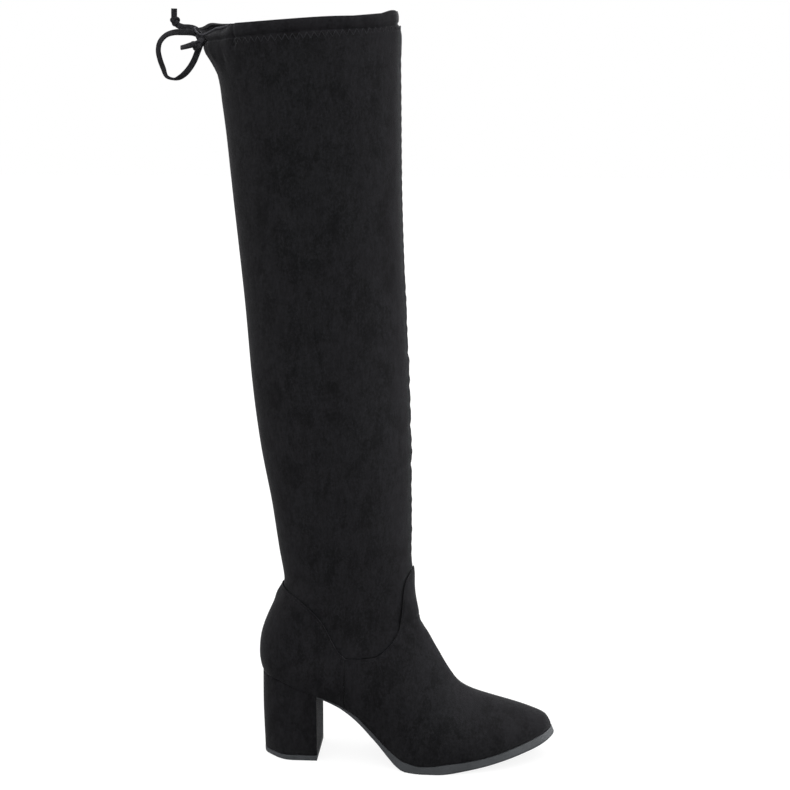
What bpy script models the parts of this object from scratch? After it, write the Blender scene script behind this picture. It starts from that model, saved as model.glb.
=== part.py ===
"""Over-the-knee boot for the right foot, with a block heel and a drawstring collar.

Sizes and tables are in millimetres. X runs from the heel to the toe, Y towards the inner
(medial) side of the foot and Z up from the floor. The boot is drawn with the back of its heel
near X = 0 and moved at the end, so that the origin is under the middle of its box.
"""

import math
from collections import namedtuple

import bmesh
import bpy
import numpy as np
from mathutils import Vector

MM = 0.001

# Foot length, heel height and turns of the last
SEAT_RADIUS = 27.0
SEAT_BACK_X = 3.9
SEAT_X = SEAT_BACK_X + SEAT_RADIUS
TOE_RADIUS = 7.0
TOE_TIP_X = 246.4
TOE_X = TOE_TIP_X - TOE_RADIUS
HEEL_BREAST_X = 50.0

# Thickness of the pieces and the air between them
WALL = 1.5
CASING_WALL = 4.2
OVERLAY = 0.9
GAP = 0.3
INSOLE_THICKNESS = 2.2
INSOLE_MARGIN = 1.1
LIFT_THICKNESS = 4.5

# Finishes of the pieces; none of them is metal
Finish = namedtuple("Finish", "colour roughness")
SUEDE = Finish((0.012, 0.012, 0.013), 0.95)
SUEDE_CORD = Finish((0.013, 0.013, 0.014), 0.9)
INSOLE_CLOTH = Finish((0.020, 0.020, 0.021), 0.9)
SOLE_RUBBER = Finish((0.040, 0.040, 0.043), 0.6)
LIFT_RUBBER = Finish((0.045, 0.045, 0.048), 0.55)

# Mesh density
COLUMNS = 26
SEAT_STEPS = 6
FOOT_STEPS = 16
TOE_STEPS = 4
RING_SPACING = 30.0

# Feather line: the edge where the upper meets the sole. `middle` is the sideways place of the
# outline's middle and `half_width` its half width before the turns at the heel and toe.
Feather = namedtuple("Feather", "x z middle half_width")
FEATHER = [
    Feather(-6.0, 73.2, 0.0, 26.0),
    Feather(4.0, 73.0, 0.0, 26.6),
    Feather(18.0, 71.0, 0.0, 27.4),
    Feather(28.6, 66.8, 0.0, 27.8),
    Feather(38.7, 62.4, 0.0, 27.9),
    Feather(49.0, 58.8, -0.1, 27.8),
    Feather(60.0, 55.2, -0.5, 27.4),
    Feather(71.0, 50.4, -1.1, 27.0),
    Feather(84.0, 42.2, -2.2, 26.8),
    Feather(96.5, 30.2, -3.6, 27.2),
    Feather(109.0, 18.0, -5.0, 29.2),
    Feather(122.0, 9.2, -5.9, 32.4),
    Feather(134.5, 6.6, -6.0, 35.6),
    Feather(147.0, 6.9, -5.5, 38.0),
    Feather(164.0, 8.8, -4.3, 39.2),
    Feather(181.0, 10.3, -2.5, 38.2),
    Feather(197.5, 12.8, -0.6, 34.8),
    Feather(214.0, 16.5, 1.4, 28.8),
    Feather(231.0, 20.7, 3.6, 19.6),
    Feather(247.0, 25.4, 5.6, 8.8),
    Feather(256.0, 28.2, 6.8, 2.8),
]

# Sections of the foot, each in a plane from the bottom up to the ridge of the vamp and instep.
# `shift` moves the ridge inwards, the bulges widen the section past the feather line, `wide_at`
# is how far up the section is widest, and a `peak` above 1 draws the ridge to a roof.
FootSection = namedtuple(
    "FootSection", "bottom_x ridge_x ridge_z shift bulge_lateral bulge_medial wide_at peak")
FOOT_SECTIONS = [
    FootSection(3.9, 133.4, 128.4, 0.0, 3.6, 3.6, 0.20, 0.85),
    FootSection(13.0, 134.4, 122.6, 0.0, 3.7, 3.7, 0.20, 0.87),
    FootSection(22.0, 135.8, 118.0, 0.0, 3.8, 3.8, 0.21, 0.90),
    FootSection(31.0, 138.6, 113.8, 0.0, 4.0, 3.8, 0.22, 0.94),
    FootSection(43.0, 140.9, 110.0, 0.2, 4.2, 4.0, 0.24, 0.99),
    FootSection(57.0, 143.2, 105.4, 0.8, 4.6, 4.4, 0.26, 1.07),
    FootSection(75.0, 146.4, 98.4, 1.6, 4.8, 5.4, 0.27, 1.16),
    FootSection(95.0, 150.4, 90.6, 3.2, 4.2, 6.4, 0.26, 1.22),
    FootSection(115.0, 155.6, 80.0, 5.0, 3.0, 5.4, 0.24, 1.22),
    FootSection(135.0, 161.8, 70.0, 6.2, 2.0, 3.4, 0.21, 1.16),
    FootSection(155.0, 170.0, 60.4, 6.4, 1.5, 2.2, 0.18, 1.08),
    FootSection(175.0, 183.0, 52.8, 5.6, 1.3, 1.5, 0.17, 1.0),
    FootSection(195.0, 199.0, 47.8, 4.0, 1.1, 1.1, 0.17, 0.95),
    FootSection(215.0, 217.0, 43.0, 2.2, 0.9, 0.9, 0.18, 0.90),
    FootSection(230.0, 231.0, 38.6, 1.0, 0.7, 0.7, 0.20, 0.86),
    FootSection(241.0, 241.4, 34.4, 0.2, 0.5, 0.5, 0.22, 0.84),
    FootSection(250.0, 250.0, 30.0, 0.0, 0.4, 0.4, 0.22, 0.84),
]

# Rings of the ankle and shaft, from a point on the back to a point on the front. A `pinch`
# above 1 draws the back of the ring to an edge, as the drawstring does.
Ring = namedtuple("Ring", "back_x back_z front_x front_z half_depth wide_at peak pinch")
RINGS = [
    Ring(3.9, 73.0, 133.2, 128.4, 30.2, 0.20, 0.85, 1.0),
    Ring(1.2, 84.0, 131.6, 137.0, 31.2, 0.21, 0.85, 1.0),
    Ring(2.8, 105.0, 129.8, 148.6, 32.0, 0.24, 0.86, 1.0),
    Ring(9.0, 123.5, 128.4, 157.6, 32.6, 0.28, 0.88, 1.0),
    Ring(16.6, 140.0, 127.6, 166.0, 33.4, 0.32, 0.90, 1.0),
    Ring(20.8, 150.0, 127.6, 172.4, 34.0, 0.36, 0.92, 1.0),
    Ring(20.6, 159.0, 128.0, 179.0, 34.8, 0.38, 0.94, 1.0),
    Ring(17.4, 178.0, 128.2, 193.0, 36.4, 0.42, 0.97, 1.0),
    Ring(11.4, 221.0, 128.0, 231.0, 39.4, 0.45, 1.0, 1.0),
    Ring(3.6, 264.0, 127.6, 271.0, 42.2, 0.46, 1.0, 1.0),
    Ring(-2.0, 307.0, 126.4, 313.0, 44.4, 0.47, 1.0, 1.0),
    Ring(-8.6, 390.0, 122.8, 396.0, 47.4, 0.48, 1.0, 1.0),
    Ring(-16.4, 472.0, 120.0, 479.0, 50.2, 0.48, 1.0, 1.0),
    Ring(-24.4, 552.0, 119.2, 562.0, 53.4, 0.48, 1.0, 1.0),
    Ring(-27.8, 573.0, 119.0, 585.0, 54.2, 0.48, 1.0, 1.08),
]
CASING_RINGS = [
    Ring(-38.6, 591.6, 119.8, 606.5, 54.4, 0.48, 1.0, 1.26),
    Ring(-38.8, 594.4, 119.2, 609.0, 54.4, 0.48, 1.0, 1.3),
    Ring(-37.8, 601.6, 118.0, 615.0, 54.2, 0.48, 1.0, 1.32),
    Ring(-36.6, 609.6, 117.0, 621.0, 53.0, 0.48, 1.0, 1.34),
]

# Outsole: its bottom, how far its top stands out past the feather line (`ledge`) and how much
# further its lower edge stands out (`flare`).
Sole = namedtuple("Sole", "x bottom ledge flare")
SOLE = [
    Sole(48.0, 57.4, 0.2, 0.0),
    Sole(60.0, 53.4, 0.2, 0.0),
    Sole(71.0, 48.4, 0.3, 0.0),
    Sole(84.0, 38.8, 0.5, 0.1),
    Sole(96.5, 26.4, 0.8, 0.3),
    Sole(105.0, 17.2, 1.0, 0.5),
    Sole(112.0, 9.0, 1.2, 0.7),
    Sole(119.0, 3.2, 1.3, 0.9),
    Sole(127.0, 0.2, 1.4, 1.2),
    Sole(139.0, -0.9, 1.4, 1.4),
    Sole(151.0, -0.6, 1.4, 1.6),
    Sole(161.0, 0.6, 1.4, 1.7),
    Sole(174.0, 2.6, 1.4, 1.8),
    Sole(197.0, 6.4, 1.5, 1.9),
    Sole(219.0, 10.9, 1.7, 2.1),
    Sole(239.0, 16.0, 1.8, 2.2),
    Sole(256.0, 21.0, 1.8, 2.2),
]
SOLE_EDGE_ROUND = 0.8

# Block heel: the outline under the seat and the outline at the lift, both flat at the breast
HeelOutline = namedtuple("HeelOutline", "back_x half_width turn")
HEEL_TOP = HeelOutline(2.2, 27.4, 26.0)
HEEL_BOTTOM = HeelOutline(2.9, 25.6, 23.0)
LIFT_OUTLINE = HeelOutline(2.8, 26.0, 23.4)
HEEL_LEVELS = 5

# Seams of the overlays seen from the side: the vamp's edge from the side seam up to its point at
# the front, and the counter's edge from the side seam up to its point at the back
Seam = namedtuple("Seam", "x z")
SIDE_SEAM_X = 74.4
VAMP_EDGE = [
    Seam(74.4, 93.4),
    Seam(88.8, 93.2),
    Seam(97.1, 95.6),
    Seam(105.4, 100.4),
    Seam(111.8, 106.8),
    Seam(116.6, 115.2),
    Seam(119.6, 126.0),
    Seam(121.8, 141.0),
    Seam(123.8, 153.0),
    Seam(126.8, 163.4),
    Seam(132.0, 169.6),
]
COUNTER_EDGE = [
    Seam(74.4, 93.4),
    Seam(70.4, 99.8),
    Seam(64.6, 110.4),
    Seam(57.2, 123.2),
    Seam(47.2, 135.6),
    Seam(38.5, 142.4),
    Seam(29.2, 146.4),
    Seam(18.0, 150.6),
]
OVERLAY_LIFT = 0.5

# Drawstring
CORD_RADIUS = 1.8
KNOT_CENTRE = (-41.4, -7.0, 603.8)
KNOT_SIZE = (4.2, 4.8, 5.2)
CordPoint = namedtuple("CordPoint", "x y z thick")
LOOP = [
    CordPoint(-46.4, -9.0, 605.8, 1.0),
    CordPoint(-52.0, -9.6, 606.2, 1.0),
    CordPoint(-60.5, -10.2, 606.0, 1.0),
    CordPoint(-66.9, -10.6, 603.6, 1.0),
    CordPoint(-71.8, -11.0, 598.2, 1.0),
    CordPoint(-73.5, -11.0, 591.9, 1.0),
    CordPoint(-72.4, -11.0, 584.9, 1.0),
    CordPoint(-69.8, -10.8, 577.8, 1.0),
    CordPoint(-66.4, -10.6, 571.8, 1.0),
    CordPoint(-61.4, -10.4, 568.8, 1.0),
    CordPoint(-55.6, -10.0, 571.4, 1.0),
    CordPoint(-49.6, -9.8, 577.0, 1.0),
    CordPoint(-45.4, -9.6, 583.3, 1.0),
    CordPoint(-42.4, -9.4, 590.2, 1.0),
    CordPoint(-41.0, -8.6, 597.4, 1.0),
]
UPPER_END = [
    CordPoint(-44.8, -3.6, 608.2, 1.0),
    CordPoint(-49.9, -2.0, 610.4, 1.0),
    CordPoint(-56.0, -2.0, 611.0, 1.0),
    CordPoint(-59.4, -2.0, 611.8, 1.6),
    CordPoint(-61.4, -2.0, 613.9, 2.1),
    CordPoint(-61.8, -2.0, 616.8, 1.5),
    CordPoint(-61.4, -2.0, 619.4, 1.0),
    CordPoint(-61.3, -2.0, 624.3, 1.0),
]
LOWER_END = [
    CordPoint(-40.2, -12.6, 601.2, 1.0),
    CordPoint(-40.8, -15.0, 598.4, 1.2),
    CordPoint(-42.8, -16.4, 596.4, 2.0),
    CordPoint(-45.6, -16.6, 595.5, 1.7),
    CordPoint(-48.2, -16.6, 595.0, 1.0),
    CordPoint(-52.4, -16.6, 594.3, 1.0),
]


def smooth_curve(knots, values):
    """A smooth curve through table rows, with each row's slope read from its neighbours."""
    knots = np.asarray(knots, float)
    values = np.asarray(values, float)
    step = np.diff(knots)
    slope = np.diff(values, axis=0) / step[:, None]
    tangent = np.empty_like(values)
    tangent[0] = slope[0]
    tangent[-1] = slope[-1]
    share = (step[:-1] / (step[:-1] + step[1:]))[:, None]
    tangent[1:-1] = slope[:-1] * (1 - share) + slope[1:] * share

    def at(knot):
        row = int(np.clip(np.searchsorted(knots, knot) - 1, 0, len(step) - 1))
        t = (knot - knots[row]) / step[row]
        near = (1 + 2 * t) * (1 - t) ** 2 * values[row] + t * (1 - t) ** 2 * step[row] * tangent[row]
        far = t * t * (3 - 2 * t) * values[row + 1] + t * t * (t - 1) * step[row] * tangent[row + 1]
        return near + far

    return at


def table_curve(rows):
    """The other columns of a table as smooth functions of its first column."""
    columns = type(rows[0])._fields[1:]
    curve = smooth_curve([row[0] for row in rows], [row[1:] for row in rows])
    place = {name: index for index, name in enumerate(columns)}
    return lambda x, name: float(curve(x)[place[name]])


feather = table_curve(FEATHER)
foot = table_curve(FOOT_SECTIONS)
sole = table_curve(SOLE)


# Stations along the feather line
Station = namedtuple("Station", "x end turn")


def foot_stations():
    """Stations from the heel's back to the toe's tip; `end` is -1 in the heel's turn and 1 in the toe's."""
    rows = []
    for i in range(SEAT_STEPS):
        rows.append(Station(SEAT_X, -1, math.radians(90) * (1 - i / SEAT_STEPS)))
    for i in range(FOOT_STEPS + 1):
        rows.append(Station(SEAT_X + (TOE_X - SEAT_X) * i / FOOT_STEPS, 0, 0.0))
    for i in range(TOE_STEPS):
        rows.append(Station(TOE_X, 1, math.radians(90) * (i + 1) / TOE_STEPS))
    return rows


def outline_at(station, margin=0.0):
    """X, lateral Y and medial Y of the outline at a station, `margin` outside the feather line."""
    radius = SEAT_RADIUS if station.end < 0 else TOE_RADIUS
    x = station.x + station.end * (radius + margin) * math.sin(station.turn)
    half = (feather(x, "half_width") + margin) * math.cos(station.turn)
    middle = feather(x, "middle")
    return x, middle - half, middle + half


# Sections of the upper
def half_section(back, front, ridge_y, wide_y, foot_y, wide_at, peak, pinch):
    """Points of one side of a section, from its lower end out to its widest point and up to the ridge."""
    low_share = np.clip((foot_y - ridge_y) / (wide_y - ridge_y), 0.0, 0.999)
    start = -math.acos(low_share ** (1 / pinch))
    angles = np.linspace(start, math.pi / 2, COLUMNS // 2 + 1)
    below = wide_at * (1 - np.sin(angles) / math.sin(start))
    above = wide_at + (1 - wide_at) * np.sin(angles)
    rise = np.where(angles < 0, below, above)
    power = np.where(angles < 0, pinch, peak)
    y = ridge_y + (wide_y - ridge_y) * np.clip(np.cos(angles), 0.0, 1.0) ** power
    x = back[0] + (front[0] - back[0]) * rise
    z = back[1] + (front[1] - back[1]) * rise
    return np.stack([x, y, z], axis=1)


def whole_section(lateral, medial):
    return np.concatenate([lateral, medial[-2::-1]])


def foot_section(station):
    """A section of the foot: an arch that stands on the feather line."""
    x, lateral, medial = outline_at(station)
    turned = station.turn / math.radians(90)
    fan_x = station.x - SEAT_RADIUS * turned if station.end < 0 else x
    toe_round = math.cos(station.turn) if station.end > 0 else 1.0
    bottom = np.array([x, feather(x, "z")])
    ridge = np.array([foot(fan_x, "ridge_x"), foot(fan_x, "ridge_z")])
    front = bottom + (ridge - bottom) * toe_round
    middle = feather(x, "middle")
    half = feather(x, "half_width")
    if toe_round < 1e-6:
        return np.tile([x, middle, bottom[1]], (COLUMNS + 1, 1))
    ridge_y = middle + foot(fan_x, "shift") * toe_round
    wide_lateral = middle - (half + foot(fan_x, "bulge_lateral")) * toe_round
    wide_medial = middle + (half + foot(fan_x, "bulge_medial")) * toe_round
    shape = (foot(fan_x, "wide_at"), foot(fan_x, "peak"), 1.0)
    return whole_section(
        half_section(bottom, front, ridge_y, wide_lateral, lateral, *shape),
        half_section(bottom, front, ridge_y, wide_medial, medial, *shape),
    )


def ring_section(ring):
    """A closed ring of the ankle or shaft."""
    back = (ring.back_x, ring.back_z)
    front = (ring.front_x, ring.front_z)
    shape = (ring.wide_at, ring.peak, ring.pinch)
    return whole_section(
        half_section(back, front, 0.0, -ring.half_depth, 0.0, *shape),
        half_section(back, front, 0.0, ring.half_depth, 0.0, *shape),
    )


def shaft_rings():
    """The table's rings with smooth rings between them where they stand far apart."""
    rows = RINGS + CASING_RINGS[:1]
    middles = [np.array([row.back_x + row.front_x, row.back_z + row.front_z]) / 2 for row in rows]
    length = np.concatenate([[0.0], np.cumsum([math.dist(a, b) for a, b in zip(middles, middles[1:])])])
    curve = smooth_curve(length, rows)
    rings = []
    for near, far in zip(length, length[1:]):
        steps = max(1, math.ceil((far - near) / RING_SPACING))
        for i in range(steps):
            rings.append(Ring(*curve(near + (far - near) * i / steps)))
    return rings


def upper_rows():
    """Sections of the upper from the toe to the collar, and how many of them are below the casing."""
    rows = [foot_section(station) for station in reversed(foot_stations())]
    rows += [ring_section(ring) for ring in shaft_rings()[1:]]
    below_casing = len(rows)
    rows += [ring_section(ring) for ring in CASING_RINGS]
    return rows, below_casing


# Mesh helpers
SHARP_EDGE = math.radians(40)


def new_object(name, data):
    thing = bpy.data.objects.new(name, data)
    bpy.context.scene.collection.objects.link(thing)
    return thing


def finish(thing, look):
    """Gives a piece its material and smooth shading between its sharp edges."""
    material = bpy.data.materials.new(thing.name + "_finish")
    material.use_nodes = True
    shader = material.node_tree.nodes["Principled BSDF"]
    shader.inputs["Base Color"].default_value = (*look.colour, 1.0)
    shader.inputs["Roughness"].default_value = look.roughness
    shader.inputs["Metallic"].default_value = 0.0
    thing.data.materials.append(material)
    if thing.type == "MESH":
        thing.data.shade_smooth()
        thing.data.set_sharp_from_angle(angle=SHARP_EDGE)
    return thing


def mesh_object(name, points, faces):
    """A mesh from points in millimetres, with points that lie on each other made one."""
    mesh = bpy.data.meshes.new(name)
    mesh.from_pydata([tuple(np.asarray(p) * MM) for p in points], [], faces)
    work = bmesh.new()
    work.from_mesh(mesh)
    bmesh.ops.remove_doubles(work, verts=work.verts, dist=1e-6)
    bmesh.ops.dissolve_degenerate(work, edges=work.edges, dist=1e-6)
    work.to_mesh(mesh)
    work.free()
    return new_object(name, mesh)


def skin(name, rows):
    """An open surface of triangles through sections of equal point count."""
    width = len(rows[0])
    points = [p for row in rows for p in row]
    faces = []
    for r in range(len(rows) - 1):
        for c in range(width - 1):
            low = r * width + c
            high = low + width
            if c < width // 2:
                faces += [(low, low + 1, high + 1), (low, high + 1, high)]
            else:
                faces += [(low, low + 1, high), (low + 1, high + 1, high)]
    return mesh_object(name, points, faces)


def closed_loft(name, loops):
    """A solid through closed loops of equal point count whose first and last are capped across.

    Each loop runs along one side and back along the other, so the caps are strips between the sides.
    """
    width = len(loops[0])
    points = [p for loop in loops for p in loop]
    faces = []
    for r in range(len(loops) - 1):
        for c in range(width):
            after = (c + 1) % width
            faces.append((r * width + c, r * width + after, (r + 1) * width + after, (r + 1) * width + c))
    top = (len(loops) - 1) * width
    for c in range(width // 2 - 1):
        other = width - 1 - c
        faces.append((c, other, other - 1, c + 1))
        faces.append((top + c, top + c + 1, top + other - 1, top + other))
    thing = mesh_object(name, points, faces)
    work = bmesh.new()
    work.from_mesh(thing.data)
    bmesh.ops.recalc_face_normals(work, faces=work.faces)
    work.to_mesh(thing.data)
    work.free()
    return thing


def solidify(thing, thickness, offset):
    layer = thing.modifiers.new("thickness", "SOLIDIFY")
    layer.thickness = thickness * MM
    layer.offset = offset
    layer.use_even_offset = True
    layer.use_quality_normals = True
    return layer


def sampled(rows, steps=3):
    """Points along a smooth curve through a table of places."""
    length = np.concatenate([[0.0], np.cumsum([math.dist(a, b) for a, b in zip(rows, rows[1:])])])
    curve = smooth_curve(length, rows)
    places = []
    for near, far in zip(length, length[1:]):
        places += [curve(near + (far - near) * i / steps) for i in range(steps)]
    return places + [np.array(rows[-1], float)]


# Pieces
def build_upper():
    rows, below_casing = upper_rows()
    upper = skin("upper", rows)
    layer = solidify(upper, CASING_WALL, -1.0)
    group = upper.vertex_groups.new(name="wall")
    casing_z = {round(float(p[2]), 4) for row in rows[below_casing + 1:] for p in row}
    for vertex in upper.data.vertices:
        in_casing = round(vertex.co.z / MM, 4) in casing_z
        group.add([vertex.index], 1.0 if in_casing else WALL / CASING_WALL, "REPLACE")
    layer.vertex_group = group.name
    return upper


def prism(name, outline):
    """A cutter: a side outline carried right through the boot along Y."""
    reach = 90.0
    count = len(outline)
    points = [(x, -reach, z) for x, z in outline] + [(x, reach, z) for x, z in outline]
    faces = [tuple(range(count)), tuple(range(2 * count - 1, count - 1, -1))]
    for c in range(count):
        after = (c + 1) % count
        faces.append((c, count + c, count + after, after))
    cutter = mesh_object(name, points, faces)
    work = bmesh.new()
    work.from_mesh(cutter.data)
    bmesh.ops.recalc_face_normals(work, faces=work.faces)
    work.to_mesh(cutter.data)
    work.free()
    cutter.hide_render = True
    cutter.display_type = "WIRE"
    return cutter


def feather_edge(start_x, stop_x, steps):
    """The overlays' lower edge, just above the sole."""
    xs = np.linspace(start_x, stop_x, steps)
    return [(x, feather(x, "z") + OVERLAY_LIFT) for x in xs]


def build_overlay(name, outline):
    """Suede over the upper: a skin of the upper's own shape, cut to its outline from the side."""
    rows, _ = upper_rows()
    top = next(i for i, row in enumerate(rows) if row[:, 2].min() > 160.0)
    overlay = skin(name, rows[:top + 1])
    lift = overlay.modifiers.new("lift", "DISPLACE")
    lift.strength = GAP * MM
    lift.mid_level = 0.0
    solidify(overlay, OVERLAY, 1.0)
    cut = overlay.modifiers.new("outline", "BOOLEAN")
    cut.operation = "INTERSECT"
    cut.solver = "EXACT"
    cut.object = prism(name + "_outline", outline)
    return overlay


def build_vamp():
    seam = [(p[0] + GAP / 2, p[1]) for p in sampled(VAMP_EDGE)]
    outline = seam + [(150.0, 172.0), (270.0, 60.0), (270.0, feather(247.0, "z"))]
    outline += feather_edge(248.0, SIDE_SEAM_X + GAP / 2, 24)
    return build_overlay("vamp", outline)


def build_counter():
    seam = [(p[0] - GAP / 2, p[1]) for p in sampled(COUNTER_EDGE)]
    outline = seam + [(-20.0, 152.0), (-20.0, feather(-6.0, "z") + OVERLAY_LIFT)]
    outline += feather_edge(-6.0, SIDE_SEAM_X - GAP / 2, 16)
    return build_overlay("counter", outline)


def sole_loop(stations, margin_of, height_of):
    """A closed loop round the foot: along the lateral side and back along the medial side."""
    lateral = []
    medial = []
    for station in stations:
        near = station.x + station.end * TOE_RADIUS * math.sin(station.turn)
        x, lateral_y, medial_y = outline_at(station, margin_of(near))
        lateral.append((x, lateral_y, height_of(x)))
        medial.append((x, medial_y, height_of(x)))
    return lateral + medial[::-1]


def build_outsole():
    breast = Station(HEEL_BREAST_X + GAP, 0, 0.0)
    along = [outline_at(station)[0] for station in foot_stations()]
    heights = [feather(x, "z") for x in along]
    straight = [x for x in along if breast.x + 4.0 < x < TOE_X]
    between = [(a + b) / 2 for a, b in zip(straight, straight[1:] + [TOE_X])]
    stations = [breast] + [Station(x, 0, 0.0) for x in sorted(straight + between)]
    stations += [station for station in foot_stations() if station.end > 0 or station.x >= TOE_X]

    def bottom(x):
        return max(0.0, sole(x, "bottom"))

    def top(x):
        beyond = max(0.0, x - along[-1])
        return float(np.interp(x, along, heights)) + beyond * (feather(256.0, "z") - feather(247.0, "z")) / 9.0 - GAP

    def rim(x):
        return bottom(x) + min(SOLE_EDGE_ROUND, 0.4 * (top(x) - bottom(x)))

    loops = [
        sole_loop(stations, lambda x: sole(x, "ledge") + sole(x, "flare") - SOLE_EDGE_ROUND, bottom),
        sole_loop(stations, lambda x: sole(x, "ledge") + sole(x, "flare"), rim),
        sole_loop(stations, lambda x: sole(x, "ledge"), top),
    ]
    return closed_loft("outsole", loops)


def build_insole():
    margin = -(WALL + INSOLE_MARGIN)
    loops = [
        sole_loop(foot_stations(), lambda x: margin, lambda x: feather(x, "z")),
        sole_loop(foot_stations(), lambda x: margin, lambda x: feather(x, "z") + INSOLE_THICKNESS),
    ]
    return closed_loft("insole", loops)


def heel_loop(outline, height_of):
    """A D from the middle of its round back along the lateral side to the breast, and back."""
    lateral = []
    for i in range(SEAT_STEPS + 1):
        turn = math.radians(90) * i / SEAT_STEPS
        lateral.append((outline.back_x + outline.turn * (1 - math.cos(turn)), outline.half_width * math.sin(turn)))
    straight_x = outline.back_x + outline.turn
    lateral.append(((straight_x + HEEL_BREAST_X) / 2, outline.half_width))
    lateral.append((HEEL_BREAST_X, outline.half_width))
    return [(x, -y, height_of(x)) for x, y in lateral] + [(x, y, height_of(x)) for x, y in lateral[::-1]]


def build_heel():
    low = np.array(heel_loop(HEEL_BOTTOM, lambda x: LIFT_THICKNESS + GAP))
    high = np.array(heel_loop(HEEL_TOP, lambda x: feather(x, "z") - GAP))
    loops = [low + (high - low) * level / HEEL_LEVELS for level in range(HEEL_LEVELS + 1)]
    return closed_loft("heel", loops)


def build_heel_lift():
    edge = 0.5
    inner = HeelOutline(LIFT_OUTLINE.back_x + edge, LIFT_OUTLINE.half_width - edge, LIFT_OUTLINE.turn - edge)
    loops = [
        heel_loop(inner, lambda x: 0.0),
        heel_loop(LIFT_OUTLINE, lambda x: edge),
        heel_loop(LIFT_OUTLINE, lambda x: LIFT_THICKNESS),
    ]
    return closed_loft("heel_lift", loops)


def build_cord(name, rows):
    """A round cord along a smooth curve; `thick` swells it where it is knotted."""
    places = sampled(rows, 2)
    curve = bpy.data.curves.new(name, "CURVE")
    curve.dimensions = "3D"
    curve.bevel_depth = CORD_RADIUS * MM
    curve.bevel_resolution = 2
    curve.use_fill_caps = True
    spline = curve.splines.new("POLY")
    spline.points.add(len(places) - 1)
    for point, place in zip(spline.points, places):
        point.co = (place[0] * MM, place[1] * MM, place[2] * MM, 1.0)
        point.radius = place[3]
    return new_object(name, curve)


def build_knot():
    mesh = bpy.data.meshes.new("drawstring_knot")
    work = bmesh.new()
    bmesh.ops.create_icosphere(work, subdivisions=2, radius=MM)
    bmesh.ops.scale(work, vec=Vector(KNOT_SIZE), verts=work.verts)
    bmesh.ops.translate(work, vec=Vector(KNOT_CENTRE) * MM, verts=work.verts)
    work.to_mesh(mesh)
    work.free()
    return new_object("drawstring_knot", mesh)


def centre_on_origin(pieces):
    """Hangs everything on one empty, moved so that the origin is under the middle of the pieces' box."""
    corners = []
    depsgraph = bpy.context.evaluated_depsgraph_get()
    for piece in pieces:
        corners += [tuple(corner) for corner in piece.evaluated_get(depsgraph).bound_box]
    low = np.min(corners, axis=0)
    high = np.max(corners, axis=0)
    things = list(bpy.data.objects)
    boot = new_object("boot", None)
    boot.location = (-(low[0] + high[0]) / 2, -(low[1] + high[1]) / 2, -low[2])
    for thing in things:
        thing.parent = boot


for old in list(bpy.data.objects):
    bpy.data.objects.remove(old, do_unlink=True)

footwear = [
    finish(build_upper(), SUEDE),
    finish(build_vamp(), SUEDE),
    finish(build_counter(), SUEDE),
    finish(build_outsole(), SOLE_RUBBER),
    finish(build_insole(), INSOLE_CLOTH),
    finish(build_heel(), SUEDE),
    finish(build_heel_lift(), LIFT_RUBBER),
]
finish(build_knot(), SUEDE_CORD)
finish(build_cord("drawstring_loop", LOOP), SUEDE_CORD)
finish(build_cord("drawstring_upper_end", UPPER_END), SUEDE_CORD)
finish(build_cord("drawstring_lower_end", LOWER_END), SUEDE_CORD)
centre_on_origin(footwear)
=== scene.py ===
"""Studio view of a black suede over-the-knee boot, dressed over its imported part.

Metres, in the part's own frame: +X runs to the toe, +Y to the inner side of the foot, +Z up.
"""

import math
from collections import namedtuple

import bpy
import numpy as np
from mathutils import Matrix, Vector
from mathutils.bvhtree import BVHTree


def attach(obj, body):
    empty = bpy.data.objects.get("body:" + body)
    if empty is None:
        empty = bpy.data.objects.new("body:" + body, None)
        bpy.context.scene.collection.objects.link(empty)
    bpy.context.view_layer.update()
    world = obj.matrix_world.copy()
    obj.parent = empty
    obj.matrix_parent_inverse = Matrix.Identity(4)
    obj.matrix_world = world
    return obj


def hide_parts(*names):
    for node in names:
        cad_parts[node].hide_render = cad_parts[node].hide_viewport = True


# Camera
PHOTO_SIDE = 790
SENSOR_WIDTH = 36.0
FOCAL_PIXELS = 1794.6
CAMERA_TURN = math.radians(4.0)
CAMERA_DISTANCE = 1.45
CAMERA_HEIGHT = 0.6095
CAMERA_AIM = Vector((0.0087, 0.0, 0.3125))

# Floor and softboxes; fan is how wide a softbox spreads, in degrees
FLOOR_SIZE = 12.0
FLOOR_GREY = (0.22, 0.22, 0.22, 1.0)
FLOOR_ROUGHNESS = 0.9
FLOOR_GLOW = 0.86
WHITE = (1.0, 1.0, 1.0, 1.0)
WASH_POWER = 0.9
WASH_ANGLE = 120.0
Softbox = namedtuple("Softbox", "name place aim size power fan")
SOFTBOXES = [
    Softbox("key", (0.22, -1.20, 1.0), (0.0, 0.0, 0.53), 0.8, 2.3, 31.0),
    Softbox("back", (-1.3, -0.1, 0.95), (0.0, 0.0, 0.45), 1.2, 25.0, 180.0),
    Softbox("toe", (1.0, 0.08, 0.15), (0.0, 0.0, 0.12), 0.8, 25.0, 180.0),
    Softbox("instep", (0.90, 0.05, 0.42), (0.04, 0.0, 0.10), 0.5, 0.7, 22.0),
    Softbox("heel", (-0.35, -1.10, 0.20), (-0.09, 0.0, 0.02), 0.5, 0.33, 28.0),
    Softbox("top", (0.5, 0.1, 1.9), (0.05, 0.0, 0.1), 1.4, 70.0, 180.0),
]

# Working by hand: how close points are merged, angles in degrees, and how far out a ray starts
MERGE_DISTANCE = 1e-5
QUAD_FACE_ANGLE = 60.0
QUAD_SHAPE_ANGLE = 80.0
SKIN_EDGE_ANGLE = 65.0
WALL_EDGE_ANGLE = 50.0
SHADE_ANGLE = 50.0
UPPER_SHADE_ANGLE = 60.0
OUTSIDE = 0.2

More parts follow.
